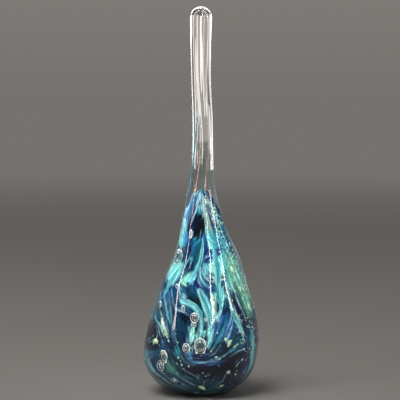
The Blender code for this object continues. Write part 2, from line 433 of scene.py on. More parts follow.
def bubble_points():
    """Each bubble as its middle point, its three half sizes and its azimuth."""
    out = []
    for azimuth, z, half_wide, half_high, depth, *facing in BUBBLES:
        surface = outer_radius(z) * flat_share(np.array([float(azimuth)]), z)[0]
        middle = place(np.array(float(azimuth)), np.array(float(z)), surface - depth)
        thick = min(depth - 0.35, half_wide) * 0.95
        out.append((middle, half_wide, thick, half_high, math.radians(azimuth + sum(facing))))
    return out


def bubble_mesh(bubble, first):
    """Points and inward-facing faces of one bubble's wall."""
    middle, half_wide, thick, half_high, turn = bubble
    work = bmesh.new()
    bmesh.ops.create_icosphere(work, subdivisions=4 if half_wide > 1 else 3, radius=1.0)
    points = []
    for vertex in work.verts:
        x, y, z = vertex.co
        swell = 1 + 0.05 * noise.noise(Vector((x, y, z)) * 1.3 + Vector(middle))
        points.append(
            beside(middle, x * half_wide * swell, y * thick * swell, z * half_high * swell, turn)
        )
    faces = [tuple(first + v.index for v in reversed(f.verts)) for f in work.faces]
    work.free()
    return points, faces


def glint_rings(random, half_wide):
    """The painted highlight arcs of a bubble: how large against it, first and last angle, and thickness.
    """
    rings = [(1.0, 0.0, 2 * math.pi, 0.14 if half_wide < 1 else 0.17)]
    if half_wide > 1:
        start = random.uniform(0.3, 1.2)
        rings.append((0.66, start, start + random.uniform(1.8, 2.8), 0.08))
        rings.append((0.5, start + 3.4, start + 4.6, 0.07))
    if half_wide > 1.5:
        rings.append((1.18, 3.85, 4.35, 0.16))
        rings.append((1.16, 5.15, 5.6, 0.16))
    return rings


def build_bubble_glints(material):
    """A thin uneven ring of painted highlight round each bubble, and in a large one painted glints of its
    wall.
    """
    steps, sides = 48, 8
    for number, (middle, half_wide, thick, half_high, turn) in enumerate(bubble_points(), start=1):
        points, faces = [], []
        for scale, start, end, tube in glint_rings(np.random.default_rng(100 + number), half_wide):
            closed = scale == 1.0
            inward = thick * math.sqrt(max(0, 1 - scale * scale)) * 0.8
            faces += tube_faces(len(points), steps, sides, closed)
            for k in range(steps):
                angle = start + (end - start) * k / (steps if closed else steps - 1)
                fade = 1.0 if closed else max(math.sin(math.pi * (k + 0.5) / steps), 0.15)
                where = Vector((2.3 * math.cos(angle), 2.3 * math.sin(angle), number * 3.7))
                fat = tube * (0.75 + 0.35 * half_wide) * (1 + 1.1 * noise.noise(where)) * fade
                for j in range(sides):
                    around = 2 * math.pi * j / sides
                    out = scale + fat * math.cos(around) / half_wide
                    x, z = half_wide * out * math.cos(angle), half_high * out * math.sin(angle)
                    points.append(beside(middle, x, fat * math.sin(around) - inward, z, turn))
        # this ring is a painted highlight standing for the light the bubble's wall reflects
        rim = mesh_object(f"bubble_{number:02d}", points, faces, material)
        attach(rim, "root")


# ---------------------------------------------------------------- clear glass


def build_clear(material):
    """The clear stem and casing, fused into one, with the bubbles as voids in it."""
    columns, stem_foot = 540, 84
    fine = 2 * columns
    heights = np.concatenate(
        [
            BELLY_HEIGHT * (1 - np.cos(np.linspace(0, np.pi / 2, 22))),
            np.arange(BELLY_HEIGHT + 1.0, stem_foot, 1.0),
            np.arange(stem_foot, HEIGHT - TIP_DOME, 2.0),
            HEIGHT - TIP_DOME + TIP_DOME * np.sin(np.linspace(0, np.pi / 2, 18))[:-1],
        ]
    )
    azimuth = np.arange(fine) * 360 / fine
    reach = range(-24, 25)
    kernel = np.exp(-0.5 * (np.array(reach) / 9.0) ** 2)
    kernel /= kernel.sum()
    points = []
    for z in heights:
        share = flat_share(azimuth, z)
        share = sum(w * np.roll(share, k) for k, w in zip(reach, kernel))
        flutes = 0.0
        if z > 60:
            up = min((z - 60) / 30, 1) * min((HEIGHT - z) / 8, 1)
            turn = np.radians(azimuth + 4 * math.sin(z / 17))
            flutes = up * (0.05 * np.sin(7 * turn + 1) + 0.03 * np.sin(13 * turn + z / 40))
        points.extend(place(azimuth, np.full(fine, z), outer_radius(z) * share + flutes)[::2])
    points += [np.array([lean(0.0), 0, 0]), np.array([lean(HEIGHT), 0, HEIGHT])]
    faces = lathe_faces(len(heights), columns)
    for bubble in bubble_points():
        more, more_faces = bubble_mesh(bubble, len(points))
        points += more
        faces += more_faces
    clear = mesh_object("clear_glass_body", points, faces, material)
    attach(clear, "root")
    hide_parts("clear_casing", "clear_stem")


# ---------------------------------------------------------------- swirl

AROUND = 384
ROWS = 252

# Soft areas: azimuth, height, half width, half height, colour, strength
AREAS = (
    (-10, 74.4, 1.6, 1.2, CYAN, 0.8),
    (-12, 71, 2.2, 1.0, SLATE, 0.8),
    (-12, 69.6, 1.7, 0.8, CYAN, 0.9),
    (-6, 68, 1.6, 1.0, TEAL, 0.8),
    (-22, 63, 3.6, 4.6, INK, 1.0),
    (-44, 66, 1.2, 7, NAVY, 0.9),
    (-8, 62, 2.0, 3.4, INK, 1.0),
    (-55, 67, 1.4, 5, SLATE, 0.7),
    (-66, 68, 0.8, 6, SKY, 0.7),
    (-72, 60, 2.4, 5, AQUA, 1.0),
    (-54, 58.5, 1.6, 2.6, SKY, 0.9),
    (-24, 56, 4.0, 3.4, DEEP, 0.6),
    (-28, 57, 2.4, 2.0, COBALT, 0.5),
    (-20, 58, 1.2, 1.4, TEAL, 0.9),
    (-36, 54, 1.2, 2.4, NAVY, 0.9),
    (-60, 54.6, 3.4, 1.0, SLATE, 0.9),
    (-30, 51, 0.9, 0.8, SEA, 0.9),
    (-30, 47.8, 2.4, 2.0, NAVY, 1.0),
    (-60, 46, 4.6, 4.8, AQUA, 0.9),
    (-33, 43.6, 1.7, 1.6, MINT, 0.9),
    (-20, 44.3, 1.4, 0.9, CYAN, 0.9),
    (-58, 38, 4.2, 3.6, COBALT, 0.45),
    (-50, 34, 3.6, 3.0, SLATE, 0.5),
    (-1, 56, 1.0, 4.0, COBALT, 1.0),
    (1.5, 52.3, 1.0, 1.7, INDIGO, 1.0),
    (1, 48.8, 1.4, 1.2, SKY, 0.7),
    (1, 46.8, 1.3, 1.0, SEA, 0.8),
    (-8, 41.5, 6, 1.7, INDIGO, 0.7),
    (-14, 37, 4.5, 1.6, INK, 0.8),
    (22, 69, 2.0, 6, FOG, 0.8),
    (20, 62, 1.6, 3, FOG, 0.7),
    (34, 66, 1.0, 6, NAVY, 0.8),
    (20, 59, 1.8, 2.6, SEA, 0.9),
    (20, 56, 2.2, 2.2, AQUA, 0.9),
    (20, 48.6, 3.2, 3.2, GLOW, 1.0),
    (22, 38.3, 3.4, 3.4, AQUA, 1.0),
    (25, 34.8, 2.2, 2.0, TEAL, 0.6),
    (40, 56, 3.4, 6, TEAL, 0.8),
    (38, 50, 1.8, 5, SEA, 0.9),
    (40, 44, 2.4, 5, SEA, 0.9),
    (54, 46, 3.6, 8, OLIVE, 0.8),
    (66, 38, 5.0, 9, MOSS, 0.9),
    (75, 62, 4, 6, DEEP, 0.9),
    (-22, 31, 2.9, 1.7, INK, 1.0),
    (-20, 31.4, 1.2, 0.4, COBALT, 0.9),
    (-11, 24, 1.7, 3.6, GLOW, 0.95),
    (-6.5, 25, 0.8, 1.6, MOSS, 0.7),
    (0, 25, 1.5, 3.2, AQUA, 0.9),
    (8, 25, 1.2, 4.0, AQUA, 0.8),
    (28, 27.5, 6.5, 4.0, COBALT, 0.5),
    (44, 26, 4.0, 3.6, NAVY, 0.6),
    (-64, 23, 7, 6, INK, 1.0),
    (-35, 22, 4.0, 2.4, NAVY, 0.9),
    (-26, 18, 1.8, 2.2, TEAL, 0.85),
    (-36, 12.2, 3.6, 2.2, MOSS, 0.7),
    (-60, 11, 5.0, 4.5, NAVY, 1.0),
    (0, 17, 4.0, 1.3, NAVY, 1.0),
    (-11, 16.3, 1.4, 1.0, SKY, 0.7),
    (22, 20, 4.0, 3.2, INK, 0.7),
    (40, 14.5, 6.0, 4.0, INK, 0.95),
    (14, 10.8, 12, 2.6, INK, 1.0),
    (56, 15, 2.6, 7, NAVY, 0.9),
    (-8, 5.4, 14, 3.4, DEEP, 0.8),
    (-26, 4.6, 5, 1.6, TEAL, 0.6),
    (12, 3.4, 5, 1.2, TEAL, 0.6),
    (24, 4.4, 4, 1.6, TEAL, 0.7),
    (105, 30, 8, 9, NAVY, 0.9),
    (120, 50, 5, 9, AQUA, 0.8),
    (140, 25, 8, 6, INK, 0.9),
    (165, 48, 5, 9, COBALT, 0.8),
    (180, 30, 6, 7, GLOW, 0.8),
    (185, 12, 9, 6, NAVY, 0.9),
    (210, 44, 6, 8, SEA, 0.9),
    (222, 24, 7, 6, INK, 0.9),
    (240, 52, 4, 8, NAVY, 0.9),
    (252, 34, 6, 8, AQUA, 0.8),
    (260, 12, 8, 7, DEEP, 0.8),
)

# Drawn strokes, three of them painted highlights: colour, strength, softness, then azimuth, height and
# half width along each
STROKES = (
    (ICE, 0.9, 0.4, ((-80, 76, 0.4), (-84, 70, 0.5), (-86, 62, 0.6), (-86, 54, 0.7))),
    (ICE, 0.8, 0.3, ((-22, 75, 0.3), (-30, 70, 0.3), (-36, 66, 0.3))),
    (SKY, 0.9, 0.3, ((-3, 60, 0.3), (-6, 56, 0.35), (-8, 53, 0.4), (-11, 51, 0.4))),
    (CYAN, 1.0, 0.3, ((-11, 51.5, 0.3), (-15, 48, 0.45), (-19, 46, 0.7), (-25, 44, 0.8))),
    (CYAN, 0.9, 0.22, ((-12, 50, 0.25), (-14, 47, 0.3), (-17, 44.6, 0.35), (-20, 42.6, 0.3))),
    (ICE, 1.0, 0.2, ((-8, 48.6, 0.22), (-2, 46, 0.28), (6, 44.4, 0.25))),
    (NAVY, 0.9, 0.2, ((-8, 47.6, 0.2), (-3, 45.2, 0.3), (5, 43.5, 0.25))),
    (CYAN, 0.9, 0.2, ((-10, 47.5, 0.2), (-6, 44.6, 0.3), (1, 42.6, 0.3), (7, 41.6, 0.2))),
    (ICE, 0.9, 0.18, ((-11, 46.2, 0.18), (-9, 43.6, 0.22), (-4, 41.6, 0.2))),
    (NAVY, 0.9, 0.25, ((-13, 46, 0.3), (-13, 43.4, 0.4), (-9, 41.4, 0.4))),
    (TEAL, 0.8, 0.25, ((-27, 42.2, 0.3), (-17, 41.4, 0.4), (-8, 39.6, 0.3))),
    (ICE, 1.0, 0.2, ((-8.5, 41, 0.25), (-7, 39, 0.35), (-5.5, 37.5, 0.25))),
    (CYAN, 0.9, 0.25, ((-28, 38.6, 0.5), (-25, 37.4, 0.6), (-20, 36.6, 0.3))),
    (AQUA, 1.0, 0.3, ((-26, 35.6, 0.5), (-17, 35.2, 0.7), (-8, 33.4, 0.8), (-2, 30, 0.8), (-1, 27, 0.5))),
    (AQUA, 1.0, 0.3, (
        (-6, 38.4, 0.4), (-2, 36, 0.6), (2, 33.6, 0.8), (6, 30, 0.9), (8, 25, 0.8), (6, 21.4, 0.4),
    )),
    (CYAN, 0.9, 0.2, ((-3, 40, 0.2), (3, 36.6, 0.3), (7, 33.4, 0.3), (10, 29, 0.25))),
    (NAVY, 0.9, 0.2, ((-3.5, 38.6, 0.2), (1, 35.6, 0.25), (4.5, 32, 0.3), (6, 28, 0.2))),
    (INK, 0.9, 0.25, ((-24, 36.8, 0.3), (-15, 36.6, 0.5), (-6, 34.8, 0.35), (0, 31.4, 0.3))),
    (DEEP, 0.9, 0.2, ((-24, 34.2, 0.2), (-15, 33.8, 0.25), (-8, 31.8, 0.2))),
    (ICE, 0.8, 0.16, ((-20, 35.6, 0.16), (-11, 34.6, 0.2), (-4, 32, 0.2), (-1, 29, 0.16))),
    (INDIGO, 0.9, 0.35, ((8, 52.2, 0.8), (18, 52.8, 1.1), (30, 54, 1.1))),
    (SLATE, 0.8, 0.25, ((10, 50.9, 0.2), (18, 51.4, 0.3), (28, 52, 0.2))),
    (ICE, 0.7, 0.3, ((11, 45.8, 0.4), (18, 45.2, 0.6), (27, 45.4, 0.4))),
    # painted highlight: a white glint on the panel
    (WHITE, 0.9, 0.3, ((13, 43.9, 0.3), (18, 43.7, 0.5), (25, 44, 0.3))),
    (DEEP, 0.8, 0.2, ((12, 42.8, 0.25), (20, 42, 0.35), (30, 42.4, 0.25))),
    # painted highlight: a white-yellow glint beside the ridge
    (WHITE, 1.0, 0.3, ((10.5, 38.4, 0.3), (11, 36.4, 0.7), (12, 34.2, 0.6), (12.5, 32.6, 0.3))),
    (MINT, 0.9, 0.3, ((12, 34, 0.3), (13, 31.4, 0.6), (14, 29, 0.3))),
    (ICE, 0.7, 0.2, ((7, 24, 0.2), (12, 28, 0.3), (18, 32, 0.3), (24, 36.5, 0.3))),
    (SKY, 0.7, 0.2, ((11, 22, 0.2), (17, 26.6, 0.3), (23, 30.6, 0.3))),
    (TEAL, 0.8, 0.25, ((14, 21.5, 0.3), (20, 25.4, 0.4), (27, 29.4, 0.4))),
    (ICE, 0.5, 0.18, ((25, 24, 0.16), (29, 27.6, 0.22), (34, 31.6, 0.2))),
    (ICE, 0.7, 0.25, ((-20, 16.5, 0.16), (-17, 15, 0.2), (-12, 14.1, 0.2), (-6, 13.8, 0.12))),
    (SKY, 0.8, 0.2, ((-18, 19, 0.16), (-15, 16.4, 0.25), (-9, 15, 0.3), (-2, 14.9, 0.16))),
    (SKY, 1.0, 0.2, ((-4, 14.6, 0.2), (2, 14.4, 0.35), (8, 14.7, 0.2))),
    (COBALT, 0.8, 0.25, ((8, 13.6, 0.2), (18, 13.7, 0.35), (30, 15, 0.2))),
    (CYAN, 0.7, 0.2, ((12, 15.6, 0.16), (20, 16, 0.2), (29, 17.6, 0.16))),
    (TEAL, 0.9, 0.22, ((-30, 20, 0.3), (-24, 17, 0.5), (-21, 14.6, 0.3))),
    (INK, 1.0, 0.25, ((-40, 20, 0.4), (-31, 15.6, 0.5), (-21, 12.8, 0.6), (-8, 10.8, 0.6))),
    (MOSS, 0.9, 0.3, ((-42, 14.4, 0.4), (-33, 11.6, 0.7), (-24, 9.6, 0.6), (-15, 8.2, 0.3))),
    (OLIVE, 0.8, 0.2, ((-38, 13.8, 0.16), (-30, 11.4, 0.25), (-22, 9.8, 0.16))),
    (DEEP, 0.7, 0.3, ((-22, 9.6, 0.3), (-15, 7.4, 0.5), (-7, 5.8, 0.3))),
    (SKY, 0.8, 0.25, ((-52, 11.6, 0.4), (-46, 9.8, 0.7), (-40, 8.4, 0.4))),
    (INK, 0.8, 0.3, ((-58, 9, 0.4), (-44, 5.6, 0.6), (-28, 3.4, 0.5))),
    (SEA, 0.8, 0.22, ((-86, 15.6, 0.25), (-68, 8.8, 0.35), (-50, 4.4, 0.35), (-34, 2, 0.25))),
    (CYAN, 0.5, 0.2, ((-76, 15, 0.16), (-64, 10.6, 0.25), (-52, 7.6, 0.16))),
    (CYAN, 0.8, 0.25, ((-74, 30, 0.25), (-64, 28, 0.35), (-55, 26.6, 0.3), (-47, 24, 0.25))),
    (AQUA, 0.6, 0.25, ((-70, 40, 0.3), (-60, 36.6, 0.4), (-50, 32, 0.4), (-42, 28, 0.3))),
    (SKY, 0.6, 0.2, ((-66, 42, 0.2), (-56, 39, 0.25), (-46, 35, 0.25))),
    (CYAN, 0.6, 0.2, ((-46, 34, 0.2), (-40, 29.6, 0.3), (-35, 25.6, 0.25), (-31, 22, 0.2))),
    (AQUA, 0.9, 0.3, ((-16, 27.6, 0.3), (-15, 24, 0.4), (-12, 21, 0.3))),
    (DEEP, 0.8, 0.2, ((-4, 28, 0.2), (-3, 25, 0.25), (-4, 22.6, 0.2))),
    (ICE, 0.8, 0.2, ((-13, 27, 0.2), (-12, 24, 0.3), (-11, 21.4, 0.2))),
    (DEEP, 0.8, 0.2, ((3.5, 28.4, 0.2), (4, 25, 0.25), (2.6, 22, 0.2))),
    (PALE, 0.7, 0.2, ((33, 42, 0.15), (35, 38, 0.22), (37, 34.6, 0.3), (42, 30.6, 0.4), (46, 29, 0.2))),
    (PALE, 0.45, 0.2, ((38, 47, 0.15), (42, 41, 0.2), (48, 35, 0.2), (54, 30, 0.15))),
    (OLIVE, 0.8, 0.25, ((44, 52, 0.3), (48, 45, 0.5), (54, 38, 0.6), (61, 31, 0.4))),
    (TEAL, 0.8, 0.2, ((47, 42, 0.25), (52, 36.6, 0.35), (58, 31.4, 0.3))),
    (PALE, 0.5, 0.2, ((54, 54, 0.15), (58, 47, 0.22), (64, 40, 0.25), (70, 33, 0.2))),
    (PALE, 0.4, 0.22, ((50, 48, 0.15), (54, 42.6, 0.25), (60, 36, 0.25))),
    (TEAL, 0.8, 0.22, ((58, 58, 0.3), (63, 50, 0.4), (69, 42, 0.4), (76, 34, 0.3))),
    (CYAN, 0.7, 0.25, ((56, 68, 0.25), (58, 62, 0.3), (58, 56, 0.3))),
    # painted highlight: a pale line along the right edge
    (WHITE, 0.7, 0.25, ((80, 50, 0.3), (84, 42, 0.4), (88, 34, 0.4), (90, 26, 0.3))),
    (SKY, 0.5, 0.2, ((42, 29, 0.2), (47, 25.6, 0.3), (52, 21.6, 0.2))),
    (DEEP, 0.8, 0.3, ((57, 30, 0.3), (60, 25, 0.5), (60, 20, 0.4))),
    (SEA, 1.0, 0.4, ((62, 24, 0.6), (66, 18, 1.2), (68, 13, 1.3), (66, 9, 1.0), (58, 5.6, 0.6))),
    (CYAN, 0.5, 0.22, ((64, 19, 0.2), (66, 14, 0.35), (65, 10, 0.25))),
    (WHITE, 0.9, 0.16, ((-56, 29.4, 0.1), (-51, 27.6, 0.3), (-45, 24.8, 0.2), (-41, 23, 0.1))),
    (PALE, 0.9, 0.16, ((-53, 26.6, 0.1), (-48, 24.6, 0.25), (-44, 22.4, 0.1))),
    (PALE, 0.8, 0.16, ((-62, 31.6, 0.1), (-57, 30.2, 0.2), (-52, 29.4, 0.1))),
    (ICE, 0.6, 0.16, ((-47, 28.6, 0.1), (-42, 26, 0.2), (-38, 22.6, 0.1))),
    (SKY, 0.8, 0.18, ((-30, 33.6, 0.2), (-22, 33.4, 0.3), (-15, 31.6, 0.2))),
    (TEAL, 0.8, 0.3, ((-20, 3.6, 0.4), (0, 3, 0.6), (22, 3.6, 0.5), (40, 5.4, 0.3))),
    (AQUA, 0.8, 0.3, ((98, 54, 0.5), (104, 44, 1.0), (116, 36, 1.1), (132, 32, 0.5))),
    (AQUA, 0.9, 0.3, ((110, 22, 0.5), (125, 17, 1.1), (143, 15, 1.1), (158, 18, 0.5))),
    (ICE, 0.7, 0.2, ((112, 26, 0.3), (128, 21, 0.4), (146, 20, 0.4), (160, 24, 0.3))),
    (NAVY, 0.9, 0.3, ((150, 60, 0.5), (158, 48, 0.9), (172, 36, 1.0), (188, 26, 0.6))),
    (AQUA, 0.9, 0.3, ((160, 56, 0.5), (168, 46, 0.9), (180, 38, 1.0), (196, 30, 0.5))),
    (MINT, 0.8, 0.3, ((196, 54, 0.4), (206, 44, 0.9), (222, 38, 1.0), (238, 31, 0.5))),
    (SEA, 0.9, 0.3, ((205, 20, 0.5), (222, 15, 1.0), (240, 14, 1.1), (258, 20, 0.5))),
    (ICE, 0.8, 0.2, ((208, 24, 0.3), (224, 19, 0.4), (242, 18, 0.4), (258, 25, 0.3))),
    (LIME, 0.6, 0.3, ((180, 20, 0.3), (190, 15, 0.6), (204, 12, 0.4))),
    (AQUA, 0.9, 0.3, ((262, 54, 0.5), (254, 44, 1.0), (262, 34, 1.1), (276, 27, 0.5))),
    (COBALT, 0.9, 0.3, ((232, 60, 0.4), (240, 48, 0.8), (246, 38, 0.6))),
)


def profile_rows():
    """Heights that divide the core's profile, from its flat to its top, into equal lengths."""
    fine = np.concatenate([np.linspace(0.3, 60, 4000), np.linspace(60, CORE_TOP - 0.02, 4000)[1:]])
    length = np.cumsum(np.hypot(np.diff(fine), np.diff(core_radius(fine))))
    length = np.concatenate([[0], length])
    step = length[-1] / ROWS
    return np.interp(np.arange(ROWS) * step, length, fine), step


ROW_Z, ROW_STEP = profile_rows()
COLUMN_STEP = 360 / AROUND
COLUMN_AZ = np.arange(AROUND) * 360 / AROUND - 180
GRID_Z, GRID_AZ = np.meshgrid(ROW_Z, COLUMN_AZ, indexing="ij")
GRID_R = core_radius(GRID_Z)
GRID = place(GRID_AZ, GRID_Z, GRID_R).reshape(-1, 3)
GRID_ROW, GRID_COLUMN = np.meshgrid(np.arange(ROWS) * 1.0, np.arange(AROUND) * 1.0, indexing="ij")


def from_middle(azimuth, z):
    """How far each point of the core lies from one place on it, round it and up it."""
    turn = (GRID_AZ - azimuth + 180) % 360 - 180
    return np.radians(turn) * np.maximum(GRID_R, 3.0), GRID_Z - z


def mixed(colour, tone, share):
    """Colours moved some share of the way to a tone."""
    return colour + (linear(tone) - colour) * share[..., None]


def ease(share):
    """A share from 0 to 1 with a soft start and end."""
    return share * share * (3 - 2 * share)


def sample(field, row, column):
    """field at fractional rows and columns, wrapping round the core."""
    row = np.clip(row, 0, ROWS - 1.001)
    r, c = np.floor(row).astype(int), np.floor(column).astype(int)
    u, v = row - r, column - c
    if field.ndim == 3:
        u, v = u[..., None], v[..., None]
    a, b = c % AROUND, (c + 1) % AROUND
    return (
        field[r, a] * (1 - u) * (1 - v)
        + field[r + 1, a] * u * (1 - v)
        + field[r, b] * (1 - u) * v
        + field[r + 1, b] * u * v
    )


def soft_noise(random, cells_high, cells_round):
    """Smooth noise from -1 to 1 on the core, with that many cells each way."""
    seeds = random.standard_normal((cells_high + 2, cells_round))
    row = np.linspace(0, cells_high, ROWS)[:, None]
    column = (np.arange(AROUND) * cells_round / AROUND)[None, :]
    r, c = np.floor(row).astype(int), np.floor(column).astype(int)
    u, v = ease(row - r), ease(column - c)
    n = (c + 1) % cells_round
    top = seeds[r, c % cells_round] * (1 - v) + seeds[r, n] * v
    bottom = seeds[r + 1, c % cells_round] * (1 - v) + seeds[r + 1, n] * v
    return top * (1 - u) + bottom * u


def stroke_curve(path):
    """A dense smooth line along a stroke: points, half widths, azimuths and heights."""
    azimuth, z, half = along_path(path, 12)
    return place(azimuth, z, core_radius(z)), half, azimuth, z


def near_stroke(points, curve, reach):
    """For each point near the curve: its index, distance, and place along the curve."""
    low, high = curve.min(0) - reach, curve.max(0) + reach
    inside = np.nonzero(((points > low) & (points < high)).all(1))[0]
    apart = np.linalg.norm(points[inside, None] - curve[None], axis=2)
    nearest = apart.argmin(1)
    return inside, apart[np.arange(len(inside)), nearest], nearest


def flow_field(random):
    """The direction the glass was drawn in: along the strokes near them, up and adrift elsewhere."""
    doubled = 2 * (np.pi / 2 + 0.9 * soft_noise(random, 7, 9)).ravel()
    x, y = 0.25 * np.cos(doubled), 0.25 * np.sin(doubled)
    for _, _, _, path in STROKES:
        curve, _, azimuth, z = stroke_curve(path)
        across = np.gradient(np.radians(azimuth)) * core_radius(z)
        angle = np.arctan2(np.gradient(z), across)
        inside, apart, nearest = near_stroke(GRID, curve, 5)
        pull = np.exp(-((apart / 2.2) ** 2))
        x[inside] += pull * np.cos(2 * angle[nearest])
        y[inside] += pull * np.sin(2 * angle[nearest])
    angle = np.arctan2(y, x).reshape(ROWS, AROUND) / 2
    return np.cos(angle), np.sin(angle)


def drag(field, along_x, along_y, length):
    """Smears a field along the flow, as drawing the soft glass does."""
    total, count = field.copy(), 1
    step = 0.35
    for sign in (1, -1):
        row, column = GRID_ROW, GRID_COLUMN
        last_x, last_y = sign * along_x, sign * along_y
        for _ in range(int(length / step)):
            radius = np.maximum(np.interp(row, np.arange(ROWS), core_radius(ROW_Z)), 1.0)
            row = row + last_y * step / ROW_STEP
            column = column + np.degrees(last_x * step / radius) / COLUMN_STEP
            r = np.clip(np.round(row).astype(int), 0, ROWS - 1)
            c = np.round(column).astype(int) % AROUND
            new_x, new_y = along_x[r, c], along_y[r, c]
            turn = np.where(new_x * last_x + new_y * last_y < 0, -1, 1)
            last_x, last_y = new_x * turn, new_y * turn
            total += sample(field, row, column)
            count += 1
    total /= count
    return total / (np.std(total) + 1e-9)


def painted():
    """The large colour areas and drawn strokes, before the glass is combed."""
    band = np.clip(0.5 + soft_noise(np.random.default_rng(3), 9, 10), 0, 1)
    colour = mixed(np.tile(linear(DEEP), (ROWS, AROUND, 1)), NAVY, band)
    for azimuth, z, wide, high, tone, strength in AREAS:
        across, up = from_middle(azimuth, z)
        far = np.hypot(across / wide, up / high)
        colour = mixed(colour, tone, ease(strength * np.clip((1.15 - far) / 0.45, 0, 1)))
    colour = colour.reshape(-1, 3)
    for number, (tone, strength, soft, path) in enumerate(STROKES):
        curve, half, _, _ = stroke_curve(path)
        inside, apart, nearest = near_stroke(GRID, curve, 3.5)
        share = strength * ease(np.clip((half[nearest] + soft - apart) / (2 * soft), 0, 1))
        shade = banded(tone, number, curve, GRID[inside], nearest)
        colour[inside] += (shade - colour[inside]) * share[:, None]
    return colour.reshape(ROWS, AROUND, 3)


def banded(tone, number, curve, points, nearest):
    """A stroke's colour in fine bands along it, with paler ones among them."""
    side = np.cross(np.gradient(curve, axis=0), curve - np.array([0, 0, 1]) * curve[:, 2:3])
    side /= np.linalg.norm(side, axis=1, keepdims=True)
    offset = ((points - curve[nearest]) * side[nearest]).sum(1)
    bands = 0.6 * np.sin(offset * 6.5 + number * 2.1 + nearest * 0.04)
    bands += 0.4 * np.sin(offset * 13 + number * 4.7 - nearest * 0.07)
    shade = linear(tone) * (1 + 0.38 * bands)[:, None]
    glow = 0.5 * min(1.0, 0.1 + 2.5 * float(linear(tone).mean()))
    return mixed(shade, ICE, np.clip(bands - 0.45, 0, 1) * glow)


def painted_bubble_light(colour):
    """Painted light: a pale patch on the core behind each bubble, where the bubble would gather the
    light.
    """
    for azimuth, z, wide, high, *_ in BUBBLES:
        across, up = from_middle(azimuth, z)
        far = np.hypot(across / wide, up / high)
        grain = 0.5 + 0.5 * np.sin(across * 5 + azimuth) * np.sin(up * 4.4 + azimuth)
        colour = mixed(colour, ICE, (0.25 + 0.45 * grain) * np.clip((0.95 - far) / 0.3, 0, 1))
    return colour


def combed(colour, along_x, along_y, random):
    """Draws the colours out along the flow in strands, and adds fine light and dark threads."""
    coarse = drag(soft_noise(random, 110, 190), along_x, along_y, 7)
    fine = drag(random.standard_normal((ROWS, AROUND)), along_x, along_y, 4)
    side = 0.22 * drag(soft_noise(random, 60, 90), along_x, along_y, 5)
    move_x = along_x * 1.1 * coarse - along_y * side
    move_y = along_y * 1.1 * coarse + along_x * side
    column = GRID_COLUMN + np.degrees(move_x / np.maximum(GRID_R, 2.0)) / COLUMN_STEP
    colour = sample(colour, GRID_ROW + move_y / ROW_STEP, column)
    colour = colour * (1 + np.clip(fine * 0.16 + coarse * 0.14, -0.5, 0.8)[..., None])
    colour = mixed(colour, ICE, 0.6 * np.clip((0.7 * coarse + 0.7 * fine - 1.3) / 0.9, 0, 1))
    shadow = np.clip((-0.5 * coarse - 0.9 * fine - 1.3) / 0.9, 0, 1)[..., None]
    return colour * (1 - 0.6 * shadow)


def pocketed():
    """The core's radius at each point, less the pockets that the bubbles lie in."""
    radius = GRID_R.copy()
    for middle, half_wide, thick, half_high, turn in bubble_points():
        near = GRID.reshape(ROWS, AROUND, 3) - middle
        across = near[..., 0] * math.cos(turn) + near[..., 1] * math.sin(turn)
        into = near[..., 0] * math.sin(turn) - near[..., 1] * math.cos(turn)
        far = np.sqrt((across / (half_wide + 0.5)) ** 2 + (near[..., 2] / (half_high + 0.5)) ** 2)
        need = into + np.sqrt(np.clip(1 - far**2, 0, 1)) * (thick + 0.35)
        facing = np.abs((GRID_AZ - math.degrees(turn) + 180) % 360 - 180) < 90
        radius -= np.where((far < 1) & facing, np.clip(need, 0, None), 0)
    return radius


def build_core(material):
    random = np.random.default_rng(11)
    along_x, along_y = flow_field(random)
    # the bubbles' painted light is laid over the combed colours
    colour = painted_bubble_light(combed(painted(), along_x, along_y, np.random.default_rng(14)))
    points = place(GRID_AZ, GRID_Z, pocketed()).reshape(-1, 3)
    ends = np.array([[lean(0.3), 0, 0.3], [lean(CORE_TOP), 0, CORE_TOP]])
    points = np.concatenate([points, ends])
    core = mesh_object("swirl_core", points, lathe_faces(ROWS, AROUND), material)
    values = np.concatenate([colour.reshape(-1, 3), colour[0, :2]])
    point_values(core, "tint", np.concatenate([values, np.ones((len(values), 1))], axis=1))
    strands = drag(soft_noise(random, 50, 80), along_x, along_y, 9)
    flow = [strands * 3.0, GRID_Z * 0.35, GRID_AZ * 0.03 - along_y * 0.4]
    flow = np.stack(flow, axis=-1).reshape(-1, 3)
    point_values(core, "flow", np.concatenate([flow, flow[:2]]))
    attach(core, "root")
    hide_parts("cobalt_core")
    return along_x, along_y


# ---------------------------------------------------------------- ribbons and frit

RIBBONS = (
    (0.7, ((-32, 36.8), (-22, 36.4), (-13, 35.2), (-5.5, 33.2), (-2, 30), (-1.5, 26.5))),
    (0.8, ((-8, 42), (-2, 38.5), (3.5, 34.8), (7.5, 31), (9, 27), (8, 23.5))),
    (0.9, ((-3, 60), (-5, 56), (-9, 52), (-15, 48), (-22, 45.4), (-29, 43.4))),
    (0.6, ((1, 50), (1, 48.4), (2.4, 46.6), (6, 45))),
    (1.4, ((17, 58), (19, 52), (20, 45), (20, 38), (21, 32))),
    (1.3, ((-50, 47.5), (-54, 44.5), (-60, 40), (-66, 35.5))),
    (1.1, ((32, 37), (37, 31), (45, 26), (50, 21))),
    (1.3, ((66, 25), (69, 18), (68, 12), (62, 8))),
    (1.1, ((-80, 17), (-66, 11), (-51, 8))),
    (1.5, ((98, 52), (104, 44), (116, 37), (132, 33))),
    (1.4, ((110, 22), (125, 17), (143, 15), (158, 18))),
    (1.6, ((150, 56), (156, 48), (168, 41), (172, 32), (186, 25))),
    (1.5, ((196, 50), (206, 43), (222, 38), (236, 32))),
    (1.4, ((205, 20), (222, 15), (240, 14), (256, 19))),
    (1.3, ((262, 50), (255, 42), (262, 33), (274, 27))),
)

